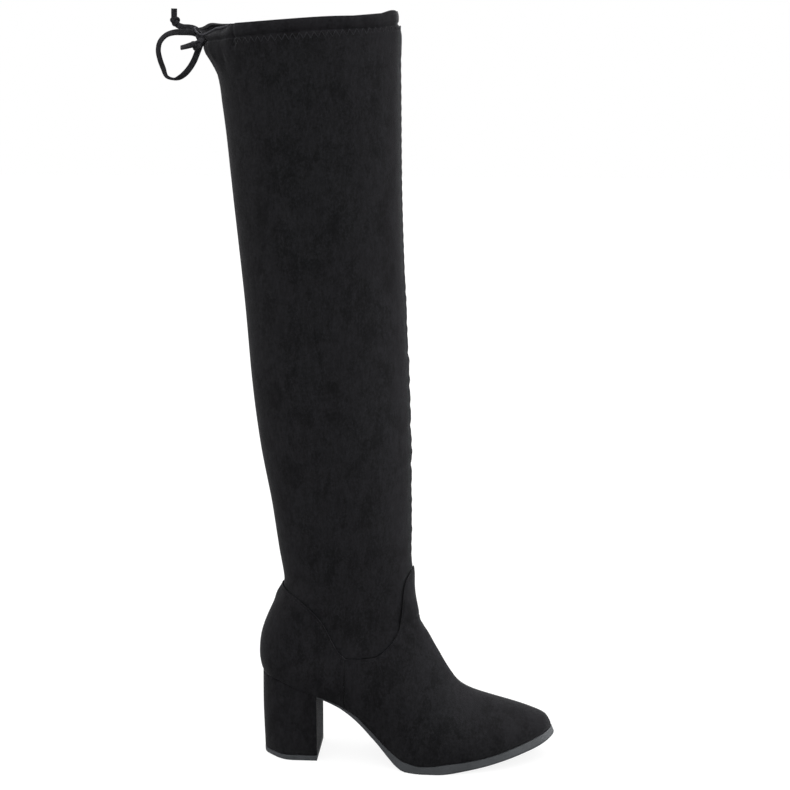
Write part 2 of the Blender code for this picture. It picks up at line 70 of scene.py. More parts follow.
# Suede
SKIN_LEVELS = 2
WALL = 0.0015
CASING_WALL = 0.0042
OVERLAY = 0.0009
OVERLAY_TOP = 0.190
LAYER_GAP = 0.0003
EDGE_BEAD = 0.00055
SEAM_TROUGH = 0.0009
SEAM_REACH = 0.0010
SEAM_NEAR = 0.0045

# Ridges and grooves along a line on the suede: how proud, how far from the line, how wide
Ridge = namedtuple("Ridge", "proud at reach")
CASING_TUNNEL = Ridge(0.0011, 0.0092, 0.0042)
CASING_GROOVE = Ridge(-0.0013, 0.0035, 0.0012)
FRONT_GROOVE = Ridge(-0.0006, 0.0, 0.0011)
FRONT_WELT = Ridge(0.0004, 0.0030, 0.0018)
FRONT_RIPPLE = Ridge(0.00016, 0.0032, 0.0026)
RIPPLE_PITCH = 0.0085
PUCKER_WIDTH = 0.0085

# Front seam: its ends up the leg, how it fades out there, and the strip with closer points round it
FRONT_SEAM_FOOT = 0.166
FRONT_SEAM_HEAD = 0.606
FOOT_FADE = 0.012
HEAD_FADE = 0.006
FRONT_OF_LEG_X = -0.02
FRONT_STRIP_HALF = 0.0075
FRONT_STRIP_FOOT = 0.16
FRONT_STRIP_HEAD = 0.590

# Collar: the stitched foot of the casing, the lift of its rim, and where its points are closer
CASING_FOOT_BACK = 0.5944
CASING_FOOT_FRONT = 0.6085
CASING_RISE = 0.7
COLLAR_BACK_X = -0.1446
COLLAR_FRONT_X = 0.0140
COLLAR_FROM_Z = 0.57
COLLAR_LIFT = 0.0010
LIFT_START = 0.004
LIFT_OVER = 0.006
DOUBLED_OVER = 0.003
FINE_BELOW_CASING = 0.014
FINE_SPOUT_Z = 0.584
FINE_SPOUT_X = -0.105

# Stitches; the turn round the collar is in degrees, each way from the front
THREAD = 0.00024
THREAD_SIDES = 6
STITCHED_TURN = 142.0
COLLAR_LINE_POINTS = 260
COLLAR_LINE_STEP = 0.002
COLLAR_GUESS_Z = 0.603
ZIGZAG_PERIOD = 0.0056
ZIGZAG_HEIGHT = 0.0046
ZIGZAG_RAISED = THREAD * 0.4
LOCK_LENGTH = 0.0021
LOCK_RINGS = 5
LOCK_PITCH = 0.0027
LOCK_RAISED = THREAD * 0.1
EDGE_INSET = 0.0020
SIDE_INSET = 0.0042

# Seams of the overlays seen from the side
SeamPoint = namedtuple("SeamPoint", "x z")
VAMP_SEAM = [SeamPoint(*row) for row in (
    (-0.0316, 0.0925), (-0.0218, 0.0921), (-0.0118, 0.0927), (-0.0027, 0.0950), (0.0038, 0.1004),
    (0.0094, 0.1065), (0.0134, 0.1142), (0.0150, 0.1235), (0.0160, 0.1335), (0.0167, 0.1435),
    (0.0176, 0.1512), (0.0201, 0.1592), (0.0245, 0.1660),
)]
COUNTER_SEAM = [SeamPoint(*row) for row in (
    (-0.0316, 0.0925), (-0.0343, 0.0950), (-0.0377, 0.0984), (-0.0413, 0.1053), (-0.0450, 0.1134),
    (-0.0488, 0.1215), (-0.0543, 0.1296), (-0.0615, 0.1372), (-0.0685, 0.1427), (-0.0759, 0.1460),
    (-0.0860, 0.1495),
)]
FEATHER = [SeamPoint(*row) for row in (
    (-0.1120, 0.0737), (-0.0878, 0.0715), (-0.0672, 0.0629), (-0.0568, 0.0593), (-0.0458, 0.0557),
    (-0.0348, 0.0509), (-0.0218, 0.0427), (-0.0093, 0.0307), (0.0032, 0.0185), (0.0162, 0.0097),
    (0.0287, 0.0071), (0.0412, 0.0074), (0.0582, 0.0093), (0.0752, 0.0108), (0.0917, 0.0133),
    (0.1082, 0.0170), (0.1252, 0.0212), (0.1420, 0.0261),
)]
SEAM_STEP = 0.0012
FEATHER_STEP = 0.004
SIDE_SEAM_X = -0.0316
SIDE_SEAM_MIDDLE_Z = 0.075
SIDE_SEAM_STEP = 0.002
SIDE_CLEAR = 0.002
SIDE_GAP = 0.0016
BRIDGE_SHARES = np.linspace(0.1, 0.9, 9)

# Corners that take an overlay's cutting outline out past the boot
PAST_FRONT = [(0.05, 0.185), (0.16, 0.06)]
PAST_BACK = [(-0.125, 0.160)]
CUTTER_HALF = 0.09

# Rounding of the solid pieces: the edges, in degrees, how wide, in how many steps, then how smooth
Rounding = namedtuple("Rounding", "angle width segments levels")
SOLE_ROUNDING = Rounding(32.0, 0.0006, 3, 1)
HEEL_ROUNDING = Rounding(50.0, 0.0012, 3, 2)
LIFT_ROUNDING = Rounding(32.0, 0.0005, 2, 1)
INSOLE_ROUNDING = Rounding(50.0, 0.0006, 2, 1)

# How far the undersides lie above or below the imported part's, along the boot
SOLE_SHIFTS = [SeamPoint(*row) for row in (
    (-0.0500, 0.0), (-0.0313, -0.0012), (-0.0060, -0.0018), (0.0080, -0.0008), (0.0220, -0.0014),
    (0.0400, 0.0), (0.0600, -0.0006), (0.0880, -0.0008), (0.1020, -0.0008), (0.1180, -0.0010),
    (0.1280, -0.0014), (0.1420, -0.0008),
)]
LIFT_SHIFTS = [SeamPoint(*row) for row in (
    (-0.1060, 0.0018), (-0.0960, 0.0012), (-0.0800, 0.0), (-0.0500, 0.0),
)]
UNDER_START = 0.2
UNDER_OVER = 0.4

# Tread: where it starts and ends along the boot, how its underside is felt for, and its grooves
TREAD_OF_SOLE = (0.006, 0.134)
TREAD_OF_LIFT = (-0.1015, -0.0560)
TREAD_MARGIN = 0.0035
TREAD_PITCH = 0.0050
TREAD_SHORTEST = 0.0080
TREAD_SEARCH = 0.0550
TREAD_STEP = 0.0005
TREAD_FLATNESS = 0.85
BELOW_FLOOR = -0.02
GROOVE_WIDTH = 0.0012
GROOVE_DEPTH = 0.0008
BAR_HEIGHT = 0.0100

# Drawstring: a flat strip; `turn` is 0 where its face shows from the side, 90 where its edge does
CORD_WIDTH = 0.0050
CORD_THICK = 0.0018
CORD_STEP = 0.0010
CORD_EDGE_POINTS = 6
TURN_SHARE = 0.01
PATH_EVERY = 4
CordPoint = namedtuple("CordPoint", "x y z turn")
BOW_ROUTE = [CordPoint(*row) for row in (
    (-0.1446, -0.0010, 0.6006, 20), (-0.1482, -0.0016, 0.6036, 15), (-0.1515, -0.0042, 0.6052, 10),
    (-0.1552, -0.0076, 0.6057, 8), (-0.1600, -0.0098, 0.6058, 8), (-0.1663, -0.0102, 0.6056, 25),
    (-0.1727, -0.0106, 0.6034, 38), (-0.1776, -0.0110, 0.5982, 36), (-0.1791, -0.0110, 0.5919, 32),
    (-0.1780, -0.0110, 0.5849, 28), (-0.1756, -0.0108, 0.5778, 32), (-0.1727, -0.0106, 0.5710, 60),
    (-0.1676, -0.0104, 0.5692, 80), (-0.1620, -0.0100, 0.5708, 45), (-0.1556, -0.0098, 0.5764, 15),
    (-0.1510, -0.0096, 0.5833, 5), (-0.1480, -0.0094, 0.5902, 0), (-0.1458, -0.0082, 0.5960, 0),
    (-0.1442, -0.0078, 0.5996, 10), (-0.1434, -0.0100, 0.6008, 20), (-0.1444, -0.0132, 0.5992, 25),
    (-0.1472, -0.0160, 0.5970, 20), (-0.1508, -0.0164, 0.5961, 25), (-0.1550, -0.0166, 0.5949, 40),
    (-0.1600, -0.0166, 0.5937, 55),
)]
TAIL_ROUTE = [CordPoint(*row) for row in (
    (-0.1448, 0.0026, 0.6020, 20), (-0.1480, 0.0022, 0.6056, 15), (-0.1516, 0.0004, 0.6084, 15),
    (-0.1557, -0.0016, 0.6095, 20), (-0.1606, -0.0022, 0.6098, 20), (-0.1644, -0.0020, 0.6112, 20),
    (-0.1667, -0.0020, 0.6138, 25), (-0.1674, -0.0020, 0.6168, 34), (-0.1674, -0.0020, 0.6196, 34),
    (-0.1673, -0.0020, 0.6243, 34),
)]

# Knots: the bow's coil, and the overhand knots, whose lean and turn are in degrees
KNOT_TUBE = 0.0015
KNOT_PLACE = (-0.1448, -0.0062, 0.6000)
KNOT_LEAN = (0.0, math.radians(-28.0), math.radians(8.0))
KNOT_TURNS = 1.9
KNOT_POINTS = 60
KNOT_LONG = 0.0048
KNOT_RADIUS = 0.0030
KNOT_SWELL = 0.0004
KNOT_WAVES = 1.5
KNOT_TALL = 1.25
EndKnot = namedtuple("EndKnot", "name place size lean turn")
BOW_END = EndKnot("bow_end_knot", (-0.1476, -0.0160, 0.5958), 0.00111, 70, 20)
TAIL_END = EndKnot("tail_end_knot", (-0.1668, -0.0020, 0.6144), 0.00094, 80, 10)
TREFOIL_POINTS = 48
TREFOIL_DEPTH = 1.2

# Bumps along the front seam, from the ankle up: height on the leg, how proud, how long
Pucker = namedtuple("Pucker", "z proud reach")
FRONT_PUCKERS = [Pucker(*row) for row in (
    (0.1973, 0.0004, 0.005), (0.2130, 0.0003, 0.004), (0.2233, 0.0004, 0.004), (0.2448, 0.0005, 0.005),
    (0.2540, -0.0004, 0.003), (0.2636, 0.0009, 0.005), (0.2755, 0.0006, 0.005),
    (0.2860, -0.0004, 0.003), (0.2958, 0.0006, 0.005), (0.3118, 0.0006, 0.005),
    (0.3190, -0.0004, 0.003), (0.3253, 0.0006, 0.005), (0.3403, 0.0009, 0.005),
    (0.3480, -0.0004, 0.003), (0.3545, 0.0004, 0.004), (0.3669, 0.0004, 0.004), (0.3810, 0.0006, 0.005),
    (0.3917, 0.0006, 0.005), (0.4040, 0.0004, 0.004),
)]

# Soft troughs and ridges, each along a short line on the suede
Crease = namedtuple("Crease", "start end proud reach")
CREASES = [
    Crease((-0.1152, -0.0380, 0.613), (-0.1139, -0.0404, 0.596), -0.0019, 0.0016),
    Crease((-0.1200, -0.0345, 0.610), (-0.1190, -0.0370, 0.590), 0.0006, 0.0028),
    Crease((-0.1260, -0.0285, 0.608), (-0.1240, -0.0310, 0.580), -0.0009, 0.0030),
    Crease((-0.1360, -0.0160, 0.600), (-0.1290, -0.0250, 0.572), 0.0008, 0.0036),
    Crease((-0.1399, -0.0080, 0.600), (-0.1432, -0.0040, 0.591), -0.0010, 0.0013),
    Crease((-0.1150, 0.0383, 0.611), (-0.1136, 0.0409, 0.588), -0.0016, 0.0018),
    Crease((-0.1260, 0.0285, 0.608), (-0.1240, 0.0310, 0.580), -0.0010, 0.0030),
    Crease((-0.1360, 0.0160, 0.603), (-0.1290, 0.0250, 0.572), 0.0008, 0.0036),
]

# Soft pulls of the skin: where, which way, and how far the pull reaches
Pull = namedtuple("Pull", "place move reach")
COLLAR_PULLS = [
    Pull((-0.1280, 0.0300, 0.6110), (0.0, 0.0, 0.0014), 0.0150),
    Pull((-0.0100, -0.0300, 0.6190), (0.0, 0.0, -0.0018), 0.0260),
    Pull((0.0040, 0.0, 0.6195), (0.0, 0.0, 0.0020), 0.0130),
    Pull((0.0140, 0.0, 0.6160), (-0.0016, 0.0, 0.0), 0.0080),
    Pull((0.0060, -0.0195, 0.6205), (0.0, 0.0, 0.0017), 0.0110),
    Pull((0.0112, 0.0, 0.6225), (-0.0008, 0.0, -0.0022), 0.0085),
]
FOOT_PULLS = [
    Pull((0.0239, 0.0, 0.1620), (0.0021, 0.0, 0.0), 0.0110),
    Pull((0.0333, 0.0, 0.1125), (-0.0009, 0.0, -0.0005), 0.0100),
    Pull((0.0530, 0.0, 0.0782), (0.0010, 0.0, 0.0009), 0.0180),
    Pull((0.0820, 0.0, 0.0565), (0.0, 0.0, 0.0016), 0.0240),
    Pull((-0.0907, 0.0, 0.1430), (-0.0019, 0.0, 0.0), 0.0070),
    Pull((-0.1050, 0.0, 0.1050), (-0.0010, 0.0, 0.0), 0.0300),
]
HEEL_PULLS = [
    Pull((-0.1050, 0.0, 0.0434), (-0.0008, 0.0, 0.0), 0.0300),
    Pull((-0.1000, -0.0240, 0.0), (0.0014, 0.0030, 0.0), 0.0120),
    Pull((-0.1000, 0.0240, 0.0), (0.0014, -0.0030, 0.0), 0.0120),
]
SOLE_PULLS = [Pull((0.0330, -0.0340, 0.0060), (0.0, -0.0044, 0.0), 0.0230)]

# The collar's rim where the drawstring gathers it: from the outer side, round the back, to the inner
RIM_AT_BACK = [
    (-0.1171, -0.0320, 0.6123), (-0.1209, -0.0270, 0.6105), (-0.1260, -0.0220, 0.6092),
    (-0.1318, -0.0165, 0.6084), (-0.1368, -0.0125, 0.6060), (-0.1397, -0.0115, 0.6047),
    (-0.1423, -0.0105, 0.6037), (-0.1458, -0.0085, 0.6041), (-0.1490, -0.0060, 0.6058),
    (-0.1510, -0.0030, 0.6087), (-0.1506, 0.0030, 0.6092), (-0.1459, 0.0080, 0.6100),
    (-0.1432, 0.0110, 0.6124), (-0.1326, 0.0220, 0.6124),
]
RIM_START_TURN = math.radians(-138)
RIM_END_TURN = math.radians(142)
RIM_REACH = 0.0065
RIM_SPREAD = 0.0030
RIM_STEP = 0.0005
RIM_FROM_Z = 0.59
GATHER_FROM_Z = 0.575
GATHER_TO_X = -0.085
SPOUT = Vector(RIM_AT_BACK[7])
SPOUT_THINNING = 0.5
SPOUT_REACH = 0.018
RIM_EDGE_FROM_Z = 0.597
RIM_ROUNDING = 0.0012
RIM_SEGMENTS = 4

# The collar's rolled lip
LIP_ROLL = 0.0009
LIP_OUT = LIP_ROLL * 0.4
LIP_UP = LIP_ROLL * 0.2
LIP_STEP = 0.0008
LIP_TO_Y = 0.004
LIP_TAPER = 10
LIP_TIP = 0.25

# Tints of the greys, as shares of red, green and blue, and the sheen of the suede
SUEDE_TINT = (1.0, 1.0, 1.12)
RUBBER_TINT = (1.0, 1.07, 1.16)
SHEEN_ROUGHNESS = 0.3
SHEEN_TINT = (0.86, 0.86, 0.9, 1.0)


# Working by hand
def only(piece):
    """Leaves one object selected and active."""
    bpy.ops.object.select_all(action="DESELECT")
    piece.select_set(True)
    bpy.context.view_layer.objects.active = piece


def pick(piece, kind, test):
    """Opens a piece in edit mode with the points, edges or faces that pass a test selected."""
    only(piece)
    bpy.ops.object.mode_set(mode="EDIT")
    bpy.ops.mesh.select_mode(type=kind)
    bpy.ops.mesh.select_all(action="DESELECT")
    leave_edit()
    mesh = piece.data
    items = {"VERT": mesh.vertices, "EDGE": mesh.edges, "FACE": mesh.polygons}[kind]
    for item in items:
        item.select = bool(test(item))
    bpy.ops.object.mode_set(mode="EDIT")


def open_all(piece):
    """Opens a piece in edit mode with all of it selected."""
    only(piece)
    bpy.ops.object.mode_set(mode="EDIT")
    bpy.ops.mesh.select_all(action="SELECT")


def leave_edit():
    bpy.ops.object.mode_set(mode="OBJECT")


def add_object(name, data):
    thing = bpy.data.objects.new(name, data)
    bpy.context.scene.collection.objects.link(thing)
    return thing


def add_modifier(piece, kind, **settings):
    modifier = piece.modifiers.new(kind.lower(), kind)
    for name, value in settings.items():
        setattr(modifier, name, value)


def apply_modifiers(piece):
    only(piece)
    for modifier in list(piece.modifiers):
        bpy.ops.object.modifier_apply(modifier=modifier.name)


def shade(piece, angle=SHADE_ANGLE):
    only(piece)
    bpy.ops.object.shade_smooth_by_angle(angle=math.radians(angle))


def faces_by_edge(mesh):
    uses = {}
    for face in mesh.polygons:
        for key in face.edge_keys:
            uses.setdefault(key, []).append(face.index)
    return uses


def rim_of(mesh):
    """The points on the open edges of a mesh."""
    uses = faces_by_edge(mesh)
    return sorted({vertex for key, faces in uses.items() if len(faces) == 1 for vertex in key})


def smooth_through(piece, levels):
    """Subdivides a piece, then lifts the smooth surface back out to the piece's own points."""
    mesh = piece.data
    aim, _ = points_of(piece)
    add_modifier(piece, "SUBSURF", levels=levels, render_levels=levels)
    smooth = piece.evaluated_get(bpy.context.evaluated_depsgraph_get())
    reached, normals = points_of(smooth)
    shift = aim - reached[:len(aim)]
    outward = normals[:len(aim)]
    lift = (shift * outward).sum(axis=1)[:, None] * outward
    rim = rim_of(mesh)
    lift[rim] = shift[rim]
    note = mesh.attributes.new("lift", "FLOAT_VECTOR", "POINT")
    note.data.foreach_set("vector", lift.ravel())
    apply_modifiers(piece)
    places, _ = points_of(piece)
    note = piece.data.attributes["lift"]
    lift = np.empty(len(places) * 3)
    note.data.foreach_get("vector", lift)
    piece.data.attributes.remove(note)
    move_points(piece, places + lift.reshape(-1, 3))


def copy_of(node, name):
    """A merged copy of a CAD solid."""
    piece = add_object(name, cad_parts[node].data.copy())
    piece.data.materials.clear()
    only(piece)
    bpy.ops.mesh.customdata_custom_splitnormals_clear()
    open_all(piece)
    bpy.ops.mesh.remove_doubles(threshold=MERGE_DISTANCE)
    leave_edit()
    return piece


def join_triangles(piece):
    open_all(piece)
    bpy.ops.mesh.tris_convert_to_quads(
        face_threshold=math.radians(QUAD_FACE_ANGLE), shape_threshold=math.radians(QUAD_SHAPE_ANGLE))
    leave_edit()


def join_rings(piece):
    """Joins the triangles of a sleeve to the quads between its rings, from its highest ring down."""
    mesh = piece.data
    neighbours = [set() for _ in mesh.vertices]
    for edge in mesh.edges:
        a, b = edge.vertices
        neighbours[a].add(b)
        neighbours[b].add(a)
    uses = faces_by_edge(mesh)
    ring = {vertex for vertex in rim_of(mesh) if mesh.vertices[vertex].co.z > COLLAR_FROM_Z}
    level = {}
    depth = 0
    while ring:
        level.update({vertex: depth for vertex in ring})
        ring = {near for vertex in ring for near in neighbours[vertex] if near not in level}
        depth += 1
    crossing = {key for key in uses if level[key[0]] != level[key[1]]}
    diagonals = set()
    left = set(crossing)
    while left:
        order = [min(left, key=lambda key: len(uses[key]))]
        left.remove(order[0])
        while True:
            beside = [key for face in uses[order[-1]] for key in mesh.polygons[face].edge_keys]
            onward = [key for key in beside if key in left]
            if not onward:
                break
            order.append(onward[0])
            left.remove(onward[0])
        lengths = [(mesh.vertices[a].co - mesh.vertices[b].co).length for a, b in order]
        diagonals.update(order[1::2] if sum(lengths[1::2]) > sum(lengths[0::2]) else order[0::2])
    pick(piece, "EDGE", lambda edge: edge.key in diagonals)
    bpy.ops.mesh.dissolve_edges(use_verts=False)
    leave_edit()


def twin_of(piece, name):
    only(piece)
    bpy.ops.object.duplicate()
    twin = bpy.context.active_object
    twin.name = name
    return twin


def pick_sharp(piece, angle):
    pick(piece, "EDGE", lambda edge: False)
    bpy.ops.mesh.edges_select_sharp(sharpness=math.radians(angle))


def round_sharp_edges(piece, rounding):
    pick_sharp(piece, rounding.angle)
    bpy.ops.mesh.bevel(offset=rounding.width, segments=rounding.segments, clamp_overlap=True)
    leave_edit()


def points_of(piece):
    """Places and normals of a piece's points, as arrays."""
    count = len(piece.data.vertices) * 3
    places = np.empty(count)
    normals = np.empty(count)
    piece.data.vertices.foreach_get("co", places)
    piece.data.vertices.foreach_get("normal", normals)
    return places.reshape(-1, 3), normals.reshape(-1, 3)


def move_points(piece, places):
    piece.data.vertices.foreach_set("co", places.ravel())
    piece.data.update()


def fade(distance, reach):
    return np.exp(-(distance / reach) ** 2)


def ramp(value, start, length):
    """Rises from 0 to 1 over a length."""
    return np.clip((value - start) / length, 0.0, 1.0)


def ridge(form, distance):
    """How far a ridge lifts the suede at a distance from its line."""
    return form.proud * fade(distance - form.at, form.reach)


def unit(rows):
    return rows / np.linalg.norm(rows, axis=1)[:, None]


def smooth_route(points, spacing):
    """Evenly spaced places on a smooth curve through points."""
    points = np.asarray(points, float)
    knots = np.concatenate([[0.0], np.cumsum(np.linalg.norm(np.diff(points, axis=0), axis=1))])
    slope = np.gradient(points, knots, axis=0)
    places = []
    for i in range(len(points) - 1):
        span = knots[i + 1] - knots[i]
        steps = max(1, round(span / spacing))
        for t in np.arange(steps) / steps:
            near = (1 + 2 * t) * (1 - t) ** 2 * points[i] + t * (1 - t) ** 2 * span * slope[i]
            far = t * t * (3 - 2 * t) * points[i + 1] - t * t * (1 - t) * span * slope[i + 1]
            places.append(near + far)
    places.append(points[-1])
    return np.array(places)


def surface_of(piece):
    mesh = piece.data
    return BVHTree.FromPolygons(
        [vertex.co for vertex in mesh.vertices], [tuple(face.vertices) for face in mesh.polygons])


# Finishes
def set_inputs(node, values):
    for name, value in values.items():
        node.inputs[name].default_value = value


def add_node(tree, kind, inputs=None, **settings):
    node = tree.nodes.new("ShaderNode" + kind)
    for name, value in settings.items():
        setattr(node, name, value)
    set_inputs(node, inputs or {})
    return node


def link(tree, from_node, output, to_node, entry):
    tree.links.new(from_node.outputs[output], to_node.inputs[entry])


def new_group(name, inputs, outputs):
    group = bpy.data.node_groups.new(name, "ShaderNodeTree")
    for entry, value in inputs.items():
        socket = group.interface.new_socket(entry, in_out="INPUT", socket_type="NodeSocketFloat")
        socket.default_value = value
    for entry in outputs:
        group.interface.new_socket(entry, in_out="OUTPUT", socket_type="NodeSocketFloat")
    return group, group.nodes.new("NodeGroupInput"), group.nodes.new("NodeGroupOutput")


def weighted_sum(tree, parts):
    """Adds outputs, each times its weight."""
    total = None
    for node, output, weight in parts:
        step = add_node(tree, "Math", {1: weight, 2: 0.0}, operation="MULTIPLY_ADD")
        link(tree, node, output, step, 0)
        if total is not None:
            link(tree, total, "Value", step, 2)
        total = step
    return total


def add_noise(tree, entry, scale, source, **looks):
    """A noise whose scale is one of its group's inputs."""
    noise = add_node(tree, "TexNoise", {name.title(): value for name, value in looks.items()})
    link(tree, *source, noise, "Vector")
    link(tree, entry, scale, noise, "Scale")
    return noise


def drawn_out(tree, coords, share):
    """Coordinates that draw a pattern out along the leg."""
    way = add_node(tree, "Mapping", {"Scale": (1.0, 1.0, share)})
    link(tree, coords, "Object", way, "Vector")
    return way, "Vector"


def make_nap_group():
    """Nap: dark blotches, streaks that run down the leg, short fibres and the fine pile under them."""
    group, entry, result = new_group(
        "nap", {"Blotches": 60.0, "Streaks": 300.0, "Fibres": 620.0, "Pile": 1500.0}, ["Shade", "Height"])
    coords = add_node(group, "TexCoord")
    patches = add_noise(
        group, entry, "Blotches", drawn_out(group, coords, 0.6), detail=5.0, roughness=0.6, distortion=0.6)
    streaks = add_noise(group, entry, "Streaks", drawn_out(group, coords, 0.4), detail=4.0, roughness=0.6)
    fibres = add_noise(group, entry, "Fibres", drawn_out(group, coords, 0.7), detail=3.0, roughness=0.7)
    pile = add_noise(group, entry, "Pile", (coords, "Object"), detail=3.0, roughness=0.7)
    blotches = add_node(
        group, "MapRange",
        {"From Min": 0.40, "From Max": 0.53, "To Min": 1.0, "To Max": 2.0}, interpolation_type="SMOOTHSTEP")
    ragged = weighted_sum(group, [(patches, "Fac", 0.70), (fibres, "Fac", 0.30)])
    link(group, ragged, "Value", blotches, "Value")
    shade_sum = weighted_sum(
        group, [(blotches, "Result", 0.09), (streaks, "Fac", 0.30), (fibres, "Fac", 0.38)])
    height_sum = weighted_sum(group, [(pile, "Fac", 0.75), (streaks, "Fac", 0.25)])
    link(group, shade_sum, "Value", result, "Shade")
    link(group, height_sum, "Value", result, "Height")
    return group


def make_grain_group():
    """Moulded rubber: cloudy tone and a fine pebble."""
    group, entry, result = new_group("grain", {"Clouds": 60.0, "Pebble": 1800.0}, ["Shade", "Height"])
    coords = add_node(group, "TexCoord")
    clouds = add_noise(group, entry, "Clouds", (coords, "Object"), detail=5.0, roughness=0.6)
    pebble = add_node(group, "TexVoronoi", feature="F1")
    link(group, coords, "Object", pebble, "Vector")
    link(group, entry, "Pebble", pebble, "Scale")
    shade_sum = weighted_sum(group, [(clouds, "Fac", 0.8), (pebble, "Distance", 0.2)])
    link(group, shade_sum, "Value", result, "Shade")
    link(group, pebble, "Distance", result, "Height")
    return group


Relief = namedtuple("Relief", "strength depth")


def make_finish(name, group, inputs, tones, relief, roughness, gloss, sheen=0.0, tint=SUEDE_TINT):
    """A finish whose tone and relief come from a group; a tone is a stop and how light its grey is."""
    material = bpy.data.materials.new(name)
    material.use_nodes = True
    tree = material.node_tree
    shader = tree.nodes["Principled BSDF"]
    pattern = add_node(tree, "Group", node_tree=group)
    set_inputs(pattern, inputs)
    colours = add_node(tree, "ValToRGB")
    stops = colours.color_ramp.elements
    while len(stops) < len(tones):
        stops.new(0.5)
    for stop, (at, light) in zip(stops, tones):
        stop.position = at
        stop.color = (*(light * share for share in tint), 1.0)
    bump = add_node(tree, "Bump", {"Strength": relief.strength, "Distance": relief.depth})
    link(tree, pattern, "Shade", colours, "Fac")
    link(tree, pattern, "Height", bump, "Height")
    link(tree, colours, "Color", shader, "Base Color")
    link(tree, bump, "Normal", shader, "Normal")
    set_inputs(shader, {"Roughness": roughness, "Specular IOR Level": gloss})
    if sheen:
        set_inputs(
            shader,
            {"Sheen Weight": sheen, "Sheen Roughness": SHEEN_ROUGHNESS, "Sheen Tint": SHEEN_TINT})
    return material


def hand_over(piece, finishes, slot, *nodes):
    """Gives a finished piece its looks and fixes it to the boot."""
    piece.data.materials.clear()
    for finish in finishes:
        piece.data.materials.append(finish)
    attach(piece, "root")
    if nodes:
        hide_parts(*nodes)


# The upper
def outer_skin():
    """The outer face of the upper as an open, smooth sheet."""
    skin = copy_of("upper", "upper_skin")
    outermost = min(skin.data.polygons, key=lambda face: face.center.y).index
    pick(skin, "FACE", lambda face: face.index == outermost)
    bpy.ops.mesh.faces_select_linked_flat(sharpness=math.radians(SKIN_EDGE_ANGLE))
    bpy.ops.mesh.select_all(action="INVERT")
    bpy.ops.mesh.delete(type="FACE")
    leave_edit()
    join_rings(skin)
    smooth_through(skin, SKIN_LEVELS)
    return skin


def casing_foot(x):
    """Height of the stitch line at the foot of the casing."""
    rise = ramp(x, COLLAR_BACK_X, COLLAR_FRONT_X - COLLAR_BACK_X) ** CASING_RISE
    return CASING_FOOT_BACK + (CASING_FOOT_FRONT - CASING_FOOT_BACK) * rise


def refine(skin, cuts, test):
    """Closer points on the faces that pass a test."""
    pick(skin, "FACE", test)
    bpy.ops.mesh.subdivide(number_cuts=cuts)
    leave_edit()


def in_front_strip(face):
    x, y, z = face.center
    in_height = FRONT_STRIP_FOOT < z < FRONT_STRIP_HEAD
    return abs(y) < FRONT_STRIP_HALF and x > FRONT_OF_LEG_X and in_height


def away_from(places, line):
    """Distance of each place from a line of points."""
    nearest = np.full(len(places), 1.0)
    for point in line:
        nearest = np.minimum(nearest, np.linalg.norm(places - point, axis=1))
    return nearest


def pull_softly(piece, pulls):
    places, _ = points_of(piece)
    for pull in pulls:
        away = np.linalg.norm(places - np.array(pull.place), axis=1)
        places = places + fade(away, pull.reach)[:, None] * np.array(pull.move)
    move_points(piece, places)


def draw_in_seams(skin, lines):
    """The narrow trough where the suede goes in under the folded edges of the overlays."""
    centres = np.array([face.center for face in skin.data.polygons])
    near = np.min([away_from(centres, line) for line in lines], axis=0) < SEAM_NEAR
    refine(skin, 2, lambda face: near[face.index])
    places, normals = points_of(skin)
    away = np.min([away_from(places, line) for line in lines], axis=0)
    move_points(skin, places - normals * (SEAM_TROUGH * fade(away, SEAM_REACH))[:, None])


def sew_front_seam(skin):
    """A narrow groove down the front of the leg, and the puckers that its thread draws up."""
    places, normals = points_of(skin)
    x, y, z = places.T
    aside = np.abs(y)
    ends = ramp(z, FRONT_SEAM_FOOT, FOOT_FADE) * ramp(FRONT_SEAM_HEAD - z, 0.0, HEAD_FADE)
    ripple = ridge(FRONT_RIPPLE, aside) * np.sin(z * 2 * math.pi / RIPPLE_PITCH)
    pucker = sum(p.proud * fade(z - p.z, p.reach) for p in FRONT_PUCKERS) * fade(y, PUCKER_WIDTH)
    proud = ridge(FRONT_GROOVE, aside) + ridge(FRONT_WELT, aside) + ripple + pucker
    move_points(skin, places + normals * ((x > FRONT_OF_LEG_X) * ends * proud)[:, None])


def shape_collar(skin):
    """The casing's rounded tunnel, the groove of its stitch line and the pull of the drawstring."""
    places, normals = points_of(skin)
    x, _, z = places.T
    above = z - casing_foot(x)
    proud = (z > COLLAR_FROM_Z) * (ridge(CASING_TUNNEL, above) + ridge(CASING_GROOVE, above))
    places = places + normals * proud[:, None]
    for crease in CREASES:
        start, end = np.array(crease.start), np.array(crease.end)
        line = end - start
        along = np.clip((places - start) @ line / (line @ line), 0.0, 1.0)
        away = np.linalg.norm(places - (start + along[:, None] * line), axis=1)
        places = places + normals * (crease.proud * fade(away, crease.reach))[:, None]
    places[:, 2] += COLLAR_LIFT * ramp(above, LIFT_START, LIFT_OVER)
    move_points(skin, places)
    pull_softly(skin, COLLAR_PULLS)


